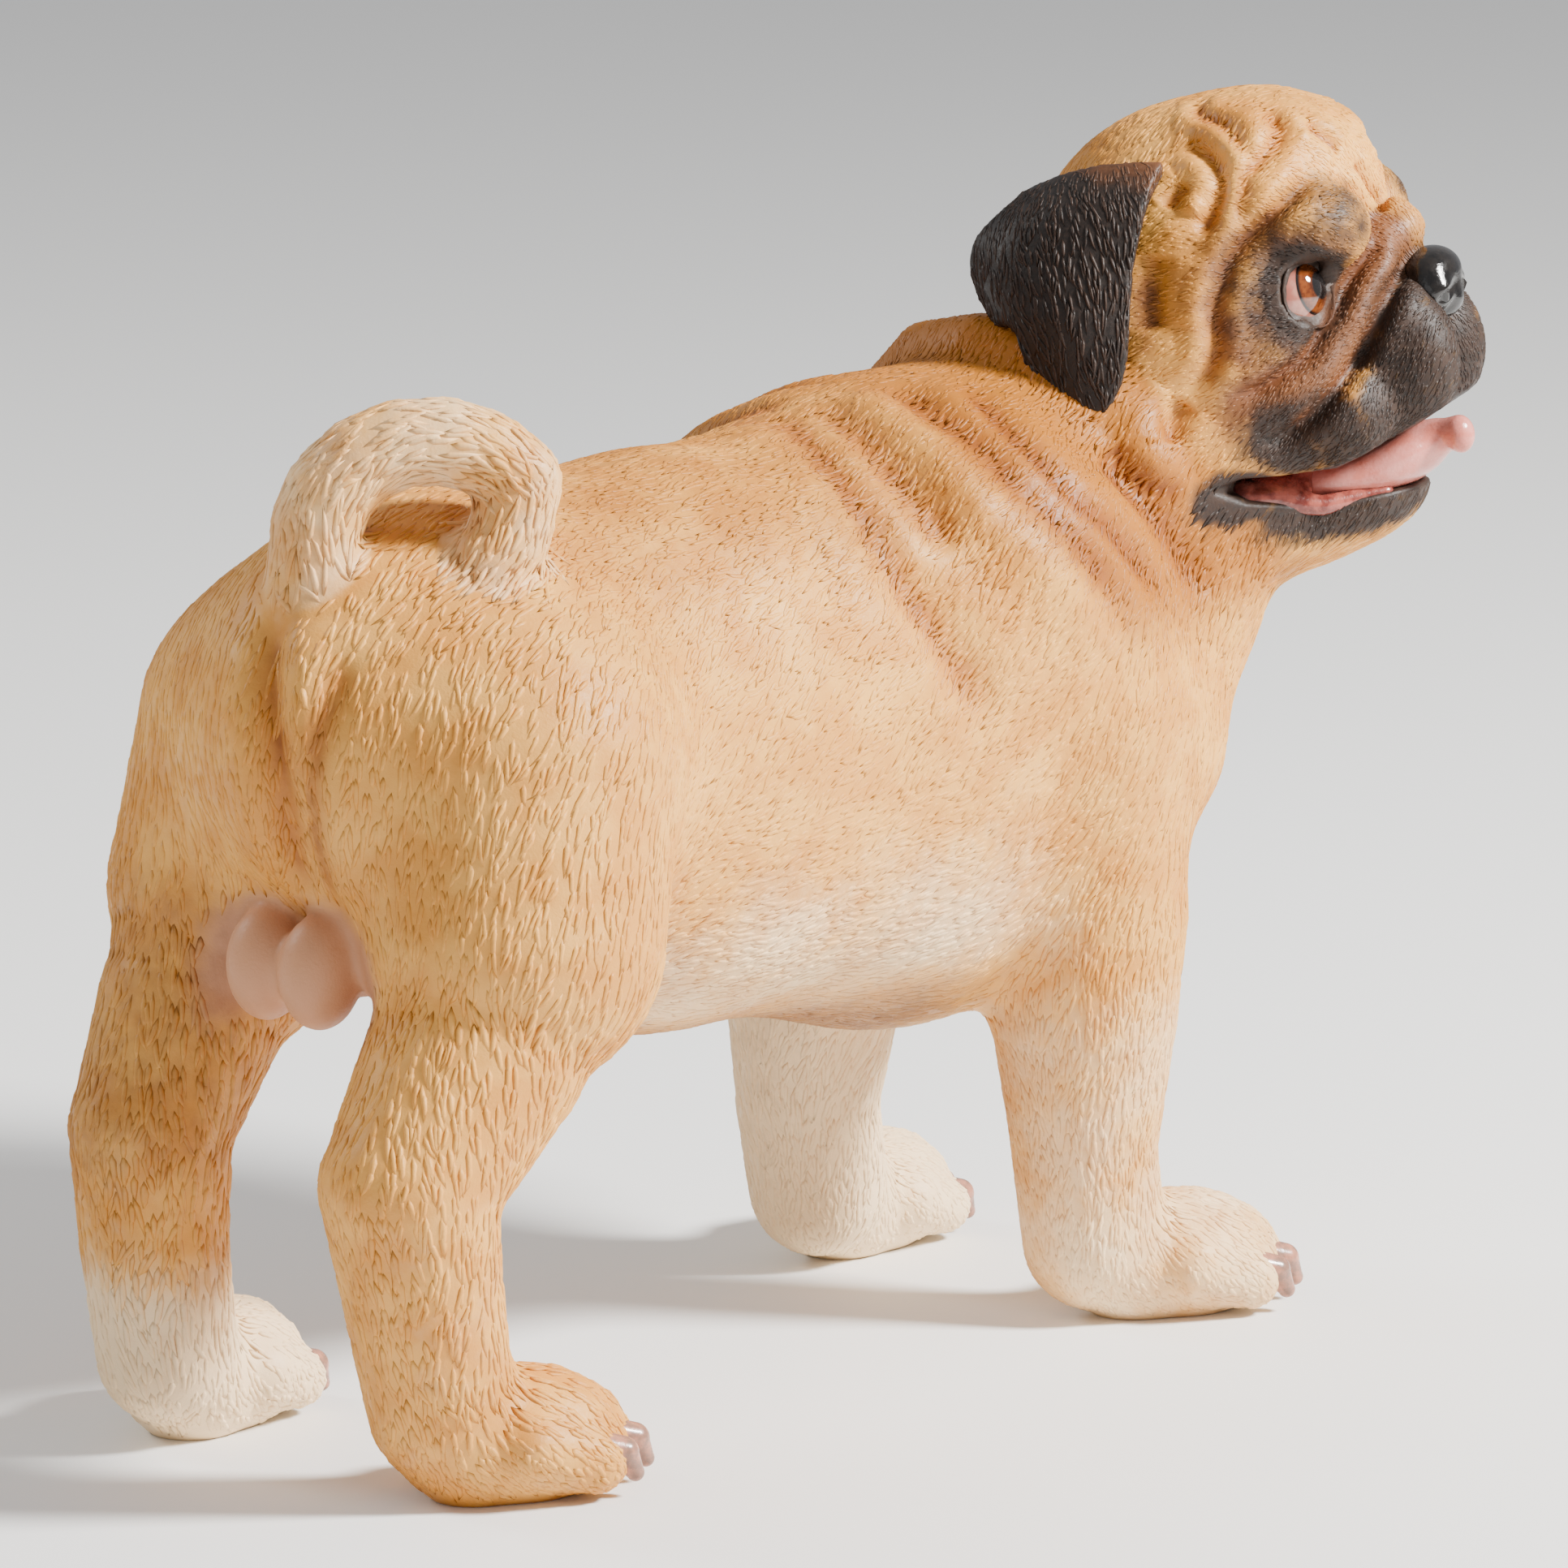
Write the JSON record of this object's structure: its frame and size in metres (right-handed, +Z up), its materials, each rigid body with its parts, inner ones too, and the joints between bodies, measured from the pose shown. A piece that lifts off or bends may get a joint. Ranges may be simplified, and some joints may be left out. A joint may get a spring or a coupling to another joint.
{
  "type": "painted cast resin statue of a pug puppy",
  "caption": "Life-size standing statue of a fawn pug puppy with a curled tail and its head turned to its right, mouth open, on flat soles.",
  "frame": {"origin": "on the surface that it stands on, under the middle of its bounding box", "axes": "+X the way its body faces, +Y its left side, +Z up"},
  "size_m": [0.3794, 0.175, 0.3043],
  "materials": {
    "coat": "hand-painted resin, fawn coat with carved fur, satin",
    "mask": "hand-painted resin, black mask with carved fur, satin",
    "ear": "hand-painted resin, charcoal ear with deep carved fur, satin",
    "eye": "painted and lacquered eye, high gloss",
    "nose": "lacquered black nose, high gloss",
    "tongue": "lacquered pink tongue, gloss",
    "claw": "lacquered pink-grey claw, gloss"
  },
  "bodies": {
    "root": {"torso": "coat", "neck": "coat", "head": "coat", "lower_jaw": "mask", "tail": "coat", "foreleg_left": "coat", "foreleg_right": "coat", "hindleg_left": "coat", "hindleg_right": "coat", "forepaw_left": "coat", "forepaw_right": "coat", "hindpaw_left": "coat", "hindpaw_right": "coat", "ear_left": "ear", "ear_right": "ear", "eye_left": "eye", "eye_right": "eye", "nose": "nose", "tongue": "tongue", "claw_front_left_1": "claw", "claw_front_left_2": "claw", "claw_front_left_3": "claw", "claw_front_left_4": "claw", "claw_front_right_1": "claw", "claw_front_right_2": "claw", "claw_front_right_3": "claw", "claw_front_right_4": "claw", "claw_hind_left_1": "claw", "claw_hind_left_2": "claw", "claw_hind_left_3": "claw", "claw_hind_left_4": "claw", "claw_hind_right_1": "claw", "claw_hind_right_2": "claw", "claw_hind_right_3": "claw", "claw_hind_right_4": "claw"}
  },
  "joints": []
}
